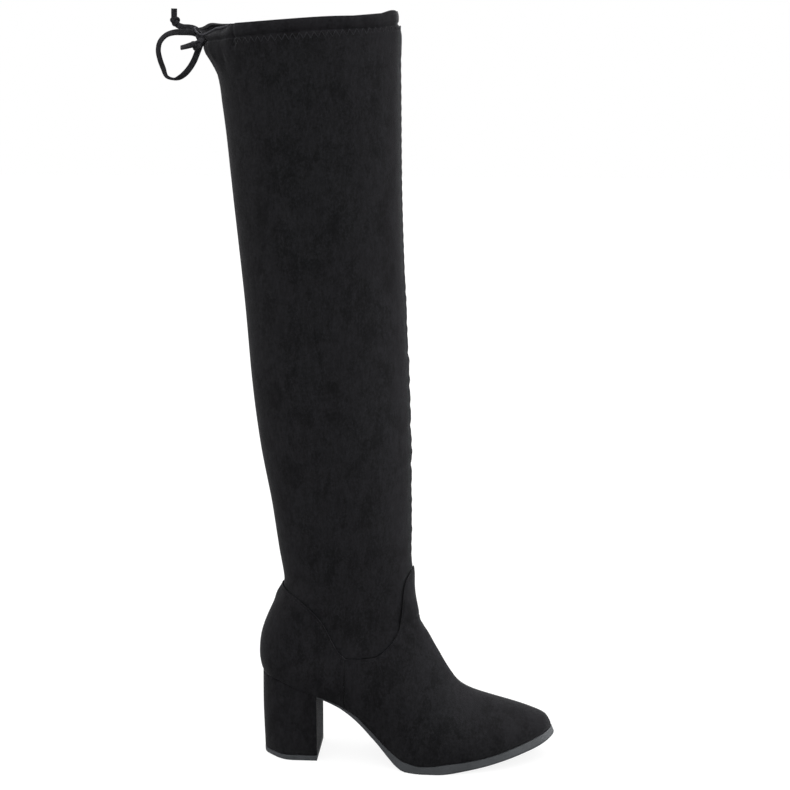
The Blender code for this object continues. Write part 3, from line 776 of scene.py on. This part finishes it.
def gather_collar(skin):
    """Draws the rim at the back into the spout that the drawstring comes out of."""
    places, _ = points_of(skin)
    middle = (COLLAR_BACK_X + COLLAR_FRONT_X) / 2
    gathered = []
    for vertex in rim_of(skin.data):
        x, y, z = places[vertex]
        turn = math.atan2(y, x - middle)
        if z > RIM_FROM_Z and (turn < RIM_START_TURN or turn > RIM_END_TURN):
            gathered.append((turn if turn < 0 else turn - 2 * math.pi, vertex))
    order = [vertex for _, vertex in sorted(gathered, reverse=True)]
    loose = places[order]
    aim = smooth_route(np.concatenate([loose[:1], RIM_AT_BACK, loose[-1:]]), RIM_STEP)
    aim_share = np.linspace(0.0, 1.0, len(aim))
    run = np.concatenate([[0.0], np.cumsum(np.linalg.norm(np.diff(loose, axis=0), axis=1))])
    share = run / run[-1]
    shift = np.stack([np.interp(share, aim_share, aim[:, axis]) for axis in range(3)], axis=1) - loose
    near = np.flatnonzero((places[:, 2] > GATHER_FROM_Z) & (places[:, 0] < GATHER_TO_X))
    for vertex in near:
        away = np.linalg.norm(loose - places[vertex], axis=1)
        weight = fade(away - away.min(), RIM_SPREAD)
        places[vertex] = places[vertex] + fade(away.min(), RIM_REACH) * (weight @ shift) / weight.sum()
    move_points(skin, places)


def give_wall(skin):
    """The suede and its lining as one wall, doubled in the casing, with a rolled collar edge."""
    upper = twin_of(skin, "upper_shell")
    wall = upper.vertex_groups.new(name="wall")
    share = WALL / CASING_WALL
    for vertex in upper.data.vertices:
        in_casing = ramp(vertex.co.z, casing_foot(vertex.co.x), DOUBLED_OVER)
        thin = 1.0 - SPOUT_THINNING * fade((vertex.co - SPOUT).length, SPOUT_REACH)
        wall.add([vertex.index], float(share + (1 - share) * in_casing * thin), "REPLACE")
    add_modifier(
        upper, "SOLIDIFY", thickness=CASING_WALL, offset=-1.0, vertex_group=wall.name, material_offset=1)
    apply_modifiers(upper)
    pick_sharp(upper, WALL_EDGE_ANGLE)
    leave_edit()
    vertices = upper.data.vertices
    at_rim = [edge.select and all(vertices[i].co.z > RIM_EDGE_FROM_Z for i in edge.vertices)
              for edge in upper.data.edges]
    pick(upper, "EDGE", lambda edge: at_rim[edge.index])
    bpy.ops.mesh.bevel(offset=RIM_ROUNDING, segments=RIM_SEGMENTS, clamp_overlap=True)
    leave_edit()
    shade(upper, UPPER_SHADE_ANGLE)
    return upper


def roll_lip():
    """The rolled edge of the collar where the drawstring turns it outwards."""
    near = [(x, y - LIP_OUT, z + LIP_UP) for x, y, z in RIM_AT_BACK if y < LIP_TO_Y]
    lip = curve_through("collar_lip", smooth_route(near, LIP_STEP), LIP_ROLL)
    for step, point in enumerate(lip.data.splines[0].points):
        point.radius = min(1.0, LIP_TIP + (1.0 - LIP_TIP) * step / LIP_TAPER)
    return to_mesh(lip)


# The overlays
def cutter(outline):
    """A side outline carried across the boot as a closed prism."""
    mesh = bpy.data.meshes.new("outline")
    count = len(outline)
    corners = [(x, -CUTTER_HALF, z) for x, z in outline]
    mesh.from_pydata(corners, [(i, (i + 1) % count) for i in range(count)], [])
    prism = add_object("outline", mesh)
    open_all(prism)
    bpy.ops.mesh.edge_face_add()
    bpy.ops.mesh.extrude_region_move(TRANSFORM_OT_translate={"value": (0.0, 2 * CUTTER_HALF, 0.0)})
    bpy.ops.mesh.select_all(action="SELECT")
    bpy.ops.mesh.normals_make_consistent()
    leave_edit()
    return prism


def cut_overlay(skin, name, outline):
    """A sheet of the upper's own shape, given its thickness and cut to an outline."""
    sheet = twin_of(skin, name)
    pick(sheet, "FACE", lambda face: face.center.z > OVERLAY_TOP)
    bpy.ops.mesh.delete(type="FACE")
    leave_edit()
    prism = cutter(outline)
    add_modifier(sheet, "DISPLACE", strength=LAYER_GAP, mid_level=0.0)
    add_modifier(sheet, "SOLIDIFY", thickness=OVERLAY, offset=1.0)
    add_modifier(sheet, "BOOLEAN", operation="INTERSECT", object=prism, solver="MANIFOLD")
    apply_modifiers(sheet)
    bpy.data.objects.remove(prism)
    shade(sheet)
    return sheet


def seam_route(points, spacing=SEAM_STEP):
    return smooth_route([(p.x, 0.0, p.z) for p in points], spacing)[:, [0, 2]]


def drop_on_side(surface, route, side, lift):
    """Lays a line seen from the side on a surface; side is -1 for the outer face, 1 for the inner."""
    places = []
    for x, z in route:
        start = Vector((x, side * OUTSIDE, z))
        hit, normal, _, _ = surface.ray_cast(start, Vector((0.0, -side, 0.0)))
        if hit is not None:
            places.append(hit + normal * (lift if normal.y * side > 0 else -lift))
    return np.array(places)


def curve_through(name, places, radius, cyclic=False):
    curve = bpy.data.curves.new(name, "CURVE")
    curve.dimensions = "3D"
    curve.bevel_depth = radius
    curve.bevel_resolution = 2
    curve.use_fill_caps = True
    curve.twist_mode = "Z_UP"
    spline = curve.splines.new("POLY")
    spline.points.add(len(places) - 1)
    for point, place in zip(spline.points, places):
        point.co = (*place, 1.0)
    spline.use_cyclic_u = cyclic
    return add_object(name, curve)


def to_mesh(curve):
    only(curve)
    bpy.ops.object.convert(target="MESH")
    bpy.ops.object.shade_smooth()
    return bpy.context.active_object


def seam_line(surface, route, lift):
    """A seam on the upper, from the outer side round the front or back to the inner side."""
    outer = drop_on_side(surface, route, -1, lift)
    inner = drop_on_side(surface, route, 1, lift)[::-1]
    bridge = []
    for share in BRIDGE_SHARES:
        hit, normal, _, _ = surface.find_nearest(Vector(outer[-1] * (1 - share) + inner[0] * share))
        bridge.append(hit + normal * lift)
    return np.concatenate([outer, np.array(bridge), inner])


def fold_edge(sheet, line):
    """The folded edge of an overlay: a slim roll along a line, joined to it."""
    roll = to_mesh(curve_through(sheet.name + "_roll", line, EDGE_BEAD))
    only(sheet)
    roll.select_set(True)
    bpy.ops.object.join()


# Stitches
def sew(name, line, stitch, pitch):
    """Repeats a stitch along a line."""
    add_modifier(
        stitch, "ARRAY", fit_type="FIT_CURVE", curve=line, use_relative_offset=False,
        use_constant_offset=True, constant_offset_displace=(pitch, 0.0, 0.0))
    add_modifier(stitch, "CURVE", object=line, deform_axis="POS_X")
    stitch.name = name
    apply_modifiers(stitch)
    bpy.data.objects.remove(line)
    bpy.ops.object.shade_smooth()
    return stitch


def lock_stitch():
    bpy.ops.mesh.primitive_uv_sphere_add(segments=THREAD_SIDES, ring_count=LOCK_RINGS)
    stitch = bpy.context.active_object
    open_all(stitch)
    bpy.ops.transform.rotate(value=math.pi / 2, orient_axis="Y", center_override=(0.0, 0.0, 0.0))
    bpy.ops.transform.resize(value=(LOCK_LENGTH / 2, THREAD, THREAD))
    bpy.ops.transform.translate(value=(LOCK_LENGTH / 2, 0.0, 0.0))
    leave_edit()
    return stitch


def zigzag_stitch():
    """One zig and one zag, standing in the XZ plane."""
    lean = math.atan2(ZIGZAG_PERIOD / 2, ZIGZAG_HEIGHT)
    length = math.hypot(ZIGZAG_PERIOD / 2, ZIGZAG_HEIGHT)
    strokes = []
    for share, way in ((0.25, lean), (0.75, -lean)):
        bpy.ops.mesh.primitive_cylinder_add(
            vertices=THREAD_SIDES, radius=THREAD, depth=length,
            location=(ZIGZAG_PERIOD * share, 0.0, 0.0), rotation=(0.0, way, 0.0))
        strokes.append(bpy.context.active_object)
    strokes[0].select_set(True)
    bpy.ops.object.join()
    bpy.ops.object.transform_apply()
    return bpy.context.active_object


def sew_collar(upper):
    """The zigzag that closes the casing, all round the collar."""
    surface = surface_of(upper)
    places = []
    middle = Vector(((COLLAR_BACK_X + COLLAR_FRONT_X) / 2, 0.0, 0.0))
    end_turn = math.radians(STITCHED_TURN)
    for turn in np.linspace(-end_turn, end_turn, COLLAR_LINE_POINTS):
        out = Vector((math.cos(turn), math.sin(turn), 0.0))
        z = COLLAR_GUESS_Z
        for _ in range(3):
            start = middle + out * OUTSIDE + Vector((0.0, 0.0, z))
            hit, normal, _, _ = surface.ray_cast(start, -out)
            z = float(casing_foot(hit.x))
        places.append(hit + normal * ZIGZAG_RAISED)
    line = curve_through("collar_line", smooth_route(places, COLLAR_LINE_STEP), 0.0)
    return sew("collar_zigzag", line, zigzag_stitch(), ZIGZAG_PERIOD)


def sew_overlay(name, surface, route, side, inset):
    """A row of lock stitches beside a seam, `inset` in from it."""
    step = np.gradient(route, axis=0)
    across = unit(np.stack([-step[:, 1], step[:, 0]], axis=1))
    places = drop_on_side(surface, route + across * inset, side, LOCK_RAISED)
    line = curve_through(name + "_line", places, 0.0)
    return sew(name, line, lock_stitch(), LOCK_PITCH)


# The sole, heel and insole
def solid_piece(node, name, rounding, pulls=(), shifts=(), tread=()):
    """A CAD solid with its edges rounded and its faces smooth, then pulled, shifted and grooved."""
    piece = copy_of(node, name)
    join_triangles(piece)
    round_sharp_edges(piece, rounding)
    smooth_through(piece, rounding.levels)
    pull_softly(piece, pulls)
    if shifts:
        shape_underside(piece, shifts)
    if tread:
        cut_tread(piece, *tread)
    shade(piece)
    return piece


def shape_underside(piece, shifts):
    """Moves the underside of a piece up or down along its length, and never below the floor."""
    places, normals = points_of(piece)
    under = ramp(-normals[:, 2], UNDER_START, UNDER_OVER)
    shift = np.interp(places[:, 0], [p.x for p in shifts], [p.z for p in shifts])
    places[:, 2] = np.maximum(places[:, 2] + under * shift, np.minimum(places[:, 2], 0.0))
    move_points(piece, places)


def groove_bar(surface, x):
    """A bar that cuts one groove across an underside, or nothing where the sole is too narrow."""
    met = []
    for y in np.arange(-TREAD_SEARCH, TREAD_SEARCH, TREAD_STEP):
        spot, normal, _, _ = surface.ray_cast(Vector((x, y, BELOW_FLOOR)), Vector((0.0, 0.0, 1.0)))
        if spot is not None and normal.z < -TREAD_FLATNESS:
            met.append((y, spot.z))
    if not met:
        return None
    start, end = met[0][0] + TREAD_MARGIN, met[-1][0] - TREAD_MARGIN
    if end - start < TREAD_SHORTEST:
        return None
    top = float(np.mean([z for _, z in met])) + GROOVE_DEPTH
    bpy.ops.mesh.primitive_cube_add(size=1.0, location=(x, (start + end) / 2, top - BAR_HEIGHT / 2))
    bar = bpy.context.active_object
    bar.scale = (GROOVE_WIDTH, end - start, BAR_HEIGHT)
    bpy.ops.object.transform_apply()
    return bar


def cut_tread(piece, back, front):
    """Cuts shallow grooves across the underside between two places, inside a plain margin."""
    surface = surface_of(piece)
    bars = [groove_bar(surface, x) for x in np.arange(back, front, TREAD_PITCH)]
    bars = [bar for bar in bars if bar]
    only(bars[0])
    for bar in bars:
        bar.select_set(True)
    bpy.ops.object.join()
    add_modifier(piece, "BOOLEAN", operation="DIFFERENCE", object=bars[0], solver="MANIFOLD")
    apply_modifiers(piece)
    bpy.data.objects.remove(bars[0])


# The drawstring
def flat_cord(name, route):
    """A flat strip with round edges, swept along a smooth route and turned as the route says."""
    table = np.array([(p.x, p.y, p.z, math.radians(p.turn) * TURN_SHARE) for p in route])
    smooth = smooth_route(table, CORD_STEP)
    places = smooth[:, :3]
    turn = smooth[:, 3] / TURN_SHARE
    along = unit(np.gradient(places, axis=0))
    flat = unit(np.cross([0.0, 1.0, 0.0], along))
    deep = np.cross(along, flat)
    wide = flat * np.cos(turn)[:, None] + deep * np.sin(turn)[:, None]
    thick = np.cross(along, wide)
    edge = CORD_THICK / 2
    section = []
    for middle, start in ((CORD_WIDTH / 2 - edge, -90), (edge - CORD_WIDTH / 2, 90)):
        for degrees in np.linspace(start, start + 180, CORD_EDGE_POINTS):
            spot = math.radians(degrees)
            section.append((middle + edge * math.cos(spot), edge * math.sin(spot)))
    count = len(section)
    points = []
    for place, across, up in zip(places, wide, thick):
        points += [tuple(place + w * across + t * up) for w, t in section]
    faces = [tuple(range(count))[::-1], tuple(range(len(points) - count, len(points)))]
    for ring in range(len(places) - 1):
        for k in range(count):
            low, after = ring * count, (k + 1) % count
            faces.append((low + k, low + after, low + count + after, low + count + k))
    mesh = bpy.data.meshes.new(name)
    mesh.from_pydata(points, [], faces)
    cord = add_object(name, mesh)
    open_all(cord)
    bpy.ops.mesh.normals_make_consistent()
    leave_edit()
    shade(cord)
    return cord, [tuple(place) for place in (*places[:-2:PATH_EVERY], places[-1])]


def set_down(knot, place, turn):
    """Turns a knot and sets it in its place."""
    knot.rotation_euler = turn
    knot.location = place
    bpy.ops.object.transform_apply()
    return knot


def overhand_knot(end):
    """A small knot of the same cord, drawn tight: a closed trefoil."""
    places = []
    for t in np.linspace(0.0, 2 * math.pi, TREFOIL_POINTS, endpoint=False):
        x = math.sin(t) + 2 * math.sin(2 * t)
        y = math.cos(t) - 2 * math.cos(2 * t)
        places.append((x, y, -TREFOIL_DEPTH * math.sin(3 * t)))
    knot = to_mesh(curve_through(end.name, np.array(places) * end.size, KNOT_TUBE, cyclic=True))
    return set_down(knot, end.place, (math.radians(end.lean), 0.0, math.radians(end.turn)))


def bow_knot():
    """The bow's knot: two turns of cord round the loop and the tail."""
    places = []
    winding = 2 * math.pi * KNOT_TURNS
    for t in np.linspace(0.0, winding, KNOT_POINTS):
        radius = KNOT_RADIUS + KNOT_SWELL * math.sin(KNOT_WAVES * t)
        along = -KNOT_LONG / 2 + KNOT_LONG * t / winding
        places.append((along, radius * math.cos(t), radius * KNOT_TALL * math.sin(t)))
    return set_down(to_mesh(curve_through("bow_knot", places, KNOT_TUBE)), KNOT_PLACE, KNOT_LEAN)


# Studio
def look_at(thing, aim):
    thing.rotation_euler = (Vector(aim) - thing.location).to_track_quat("-Z", "Y").to_euler()


def set_camera():
    camera = add_object("camera", bpy.data.cameras.new("camera"))
    camera.data.sensor_width = SENSOR_WIDTH
    camera.data.lens = FOCAL_PIXELS * SENSOR_WIDTH / PHOTO_SIDE
    camera.location = (
        CAMERA_AIM.x + CAMERA_DISTANCE * math.sin(CAMERA_TURN),
        CAMERA_AIM.y - CAMERA_DISTANCE * math.cos(CAMERA_TURN),
        CAMERA_HEIGHT,
    )
    look_at(camera, CAMERA_AIM)
    bpy.context.scene.camera = camera


def hang_softbox(box, passed_over):
    """A square softbox that leaves out the things in a collection."""
    light = bpy.data.lights.new(box.name, "AREA")
    light.shape = "SQUARE"
    light.size = box.size
    light.energy = box.power
    light.spread = math.radians(box.fan)
    lamp = add_object(box.name, light)
    lamp.location = box.place
    look_at(lamp, box.aim)
    lamp.light_linking.receiver_collection = passed_over


def set_studio():
    scene = bpy.context.scene
    scene.view_settings.view_transform = "Standard"
    world = bpy.data.worlds.new("studio")
    world.use_nodes = True
    set_inputs(world.node_tree.nodes["Background"], {"Color": WHITE, "Strength": 1.0})
    scene.world = world
    sun = bpy.data.lights.new("floor_wash", "SUN")
    sun.energy = WASH_POWER
    sun.angle = math.radians(WASH_ANGLE)
    add_object("floor_wash", sun)
    bpy.ops.mesh.primitive_plane_add(size=FLOOR_SIZE)
    floor = bpy.context.active_object
    floor.name = "studio_floor"
    material = bpy.data.materials.new("pale_floor")
    material.use_nodes = True
    set_inputs(material.node_tree.nodes["Principled BSDF"], {
        "Base Color": FLOOR_GREY, "Roughness": FLOOR_ROUGHNESS, "Specular IOR Level": 0.0,
        "Emission Color": WHITE, "Emission Strength": FLOOR_GLOW})
    floor.data.materials.append(material)
    passed_over = bpy.data.collections.new("floor_only")
    passed_over.objects.link(floor)
    passed_over.collection_objects[0].light_linking.link_state = "EXCLUDE"
    for box in SOFTBOXES:
        hang_softbox(box, passed_over)


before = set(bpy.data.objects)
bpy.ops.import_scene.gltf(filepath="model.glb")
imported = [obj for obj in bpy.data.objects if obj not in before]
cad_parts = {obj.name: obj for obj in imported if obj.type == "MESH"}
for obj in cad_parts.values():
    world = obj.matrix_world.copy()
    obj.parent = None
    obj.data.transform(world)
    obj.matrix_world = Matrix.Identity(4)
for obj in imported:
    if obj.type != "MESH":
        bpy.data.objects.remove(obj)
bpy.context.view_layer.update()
set_camera()
set_studio()

# Finishes
nap = make_nap_group()
grain = make_grain_group()
suede = make_finish(
    "suede", nap, {}, [(0.38, 0.0019), (0.5, 0.0036), (0.62, 0.0058)],
    Relief(0.55, 0.0005), roughness=0.95, gloss=0.04, sheen=0.045)
# Lighter suede for the rolled lip, about four times the suede's grey: a painted highlight along the
# collar's rolled edge
suede_painted_highlight = make_finish(
    "suede_painted_highlight", nap, {"Blotches": 120.0}, [(0.38, 0.0130), (0.62, 0.0220)],
    Relief(0.4, 0.0004), roughness=0.95, gloss=0.04, sheen=0.06)
suede_strip = make_finish(
    "suede_strip", nap, {"Blotches": 160.0, "Streaks": 500.0}, [(0.40, 0.0042), (0.62, 0.0100)],
    Relief(0.5, 0.0004), roughness=0.95, gloss=0.04, sheen=0.06)
lining = make_finish(
    "lining", nap, {"Streaks": 900.0, "Pile": 2600.0}, [(0.40, 0.006), (0.62, 0.012)],
    Relief(0.4, 0.0003), roughness=0.85, gloss=0.05, sheen=0.03)
rubber, lift_rubber = (
    make_finish(
        name, grain, {"Clouds": clouds}, [(0.35, 0.0145), (0.6, 0.0205)],
        Relief(0.12, 0.0002), roughness=0.6, gloss=0.1, tint=RUBBER_TINT)
    for name, clouds in (("sole_rubber", 60.0), ("lift_rubber", 90.0)))
sock = make_finish(
    "insole_cloth", nap, {"Blotches": 80.0, "Streaks": 700.0}, [(0.40, 0.012), (0.62, 0.024)],
    Relief(0.3, 0.0003), roughness=0.9, gloss=0.1)
twist = {"Blotches": 300.0, "Streaks": 1600.0}
thread = make_finish(
    "thread", nap, twist, [(0.40, 0.006), (0.62, 0.011)], Relief(0.3, 0.0001), roughness=0.8, gloss=0.06)
dark_thread = make_finish(
    "dark_thread", nap, twist, [(0.40, 0.003), (0.62, 0.006)],
    Relief(0.3, 0.0001), roughness=0.8, gloss=0.04)

# Drawstring
bow, bow_path = flat_cord("drawstring_bow", BOW_ROUTE)
tail, tail_path = flat_cord("drawstring_tail", TAIL_ROUTE)
knot = bow_knot()
bow_end = overhand_knot(BOW_END)
tail_end = overhand_knot(TAIL_END)
hand_over(bow, [suede_strip], "suede_cord", "drawstring_loop", "drawstring_lower_end")
hand_over(tail, [suede_strip], "suede_cord", "drawstring_upper_end")
hand_over(knot, [suede_strip], "suede_cord", "drawstring_knot")
hand_over(bow_end, [suede_strip], "suede_cord")
hand_over(tail_end, [suede_strip], "suede_cord")

# Upper and overlays
skin = outer_skin()
refine(skin, 2, in_front_strip)
sew_front_seam(skin)
pull_softly(skin, FOOT_PULLS + SOLE_PULLS)
vamp_route = seam_route(VAMP_SEAM)
counter_route = seam_route(COUNTER_SEAM)
feather_route = seam_route(FEATHER, FEATHER_STEP)
side_foot = float(np.interp(SIDE_SEAM_X, feather_route[:, 0], feather_route[:, 1]))
side_heights = (side_foot, SIDE_SEAM_MIDDLE_Z, VAMP_SEAM[0].z)
side_route = seam_route([SeamPoint(SIDE_SEAM_X, z) for z in side_heights], SIDE_SEAM_STEP)
to_toe = [tuple(p) for p in feather_route if p[0] > SIDE_SEAM_X + SIDE_CLEAR]
to_heel = [tuple(p) for p in feather_route if p[0] < SIDE_SEAM_X - SIDE_CLEAR]
half_gap = LAYER_GAP / 2
vamp_side = SIDE_SEAM_X + SIDE_GAP / 2
counter_side = SIDE_SEAM_X - SIDE_GAP / 2
vamp_outline = [(max(x + half_gap, vamp_side), z) for x, z in vamp_route] + PAST_FRONT
vamp_outline += to_toe[::-1] + [(vamp_side, side_foot)]
counter_outline = [(min(x - half_gap, counter_side), z) for x, z in counter_route] + PAST_BACK
counter_outline += to_heel + [(counter_side, side_foot)]
vamp = cut_overlay(skin, "vamp_suede", vamp_outline)
counter = cut_overlay(skin, "counter_suede", counter_outline)
skin_surface = surface_of(skin)
half_thick = LAYER_GAP + OVERLAY / 2
fold_shift = np.array([SIDE_GAP / 2, 0.0])
fold_edge(vamp, seam_line(skin_surface, vamp_route, half_thick))
fold_edge(counter, seam_line(skin_surface, counter_route, half_thick))
for side in (-1, 1):
    fold_edge(vamp, drop_on_side(skin_surface, side_route + fold_shift, side, half_thick))
    fold_edge(counter, drop_on_side(skin_surface, side_route - fold_shift, side, half_thick))
hand_over(vamp, [suede], "suede", "vamp")
hand_over(counter, [suede], "suede", "counter")

side_lines = [drop_on_side(skin_surface, side_route, side, 0.0) for side in (-1, 1)]
top_lines = [seam_line(skin_surface, route, 0.0) for route in (vamp_route, counter_route)]
draw_in_seams(skin, top_lines + side_lines)
refine(skin, 1, lambda face: face.center.z > casing_foot(face.center.x) - FINE_BELOW_CASING)
refine(skin, 1, lambda face: face.center.z > FINE_SPOUT_Z and face.center.x < FINE_SPOUT_X)
shape_collar(skin)
gather_collar(skin)
upper = give_wall(skin)
hand_over(upper, [suede, lining], "suede", "upper")
# The rolled lip wears the lighter suede, a painted highlight on the collar's edge
hand_over(roll_lip(), [suede_painted_highlight], "suede")

# Stitches
hand_over(sew_collar(upper), [thread], "suede")
vamp_surface = surface_of(vamp)
counter_surface = surface_of(counter)
for side, word in ((-1, "outer"), (1, "inner")):
    for name, surface, route, inset in (
        ("vamp", vamp_surface, vamp_route, -EDGE_INSET),
        ("counter", counter_surface, counter_route, EDGE_INSET),
        ("side", counter_surface, side_route, SIDE_INSET),
    ):
        row = sew_overlay(f"{name}_stitches_{word}", surface, route, side, inset)
        hand_over(row, [dark_thread], "suede")
bpy.data.objects.remove(skin)

# Sole, heel and insole
outsole = solid_piece("outsole", "outsole_rubber", SOLE_ROUNDING, SOLE_PULLS, SOLE_SHIFTS, TREAD_OF_SOLE)
heel = solid_piece("heel", "heel_cover", HEEL_ROUNDING, HEEL_PULLS)
heel_lift = solid_piece(
    "heel_lift", "heel_lift_rubber", LIFT_ROUNDING, HEEL_PULLS, LIFT_SHIFTS, TREAD_OF_LIFT)
insole = solid_piece("insole", "insole_sock", INSOLE_ROUNDING)
hand_over(outsole, [rubber], "sole_rubber", "outsole")
hand_over(heel, [suede], "suede", "heel")
hand_over(heel_lift, [lift_rubber], "lift_rubber", "heel_lift")
hand_over(insole, [sock], "insole_board", "insole")
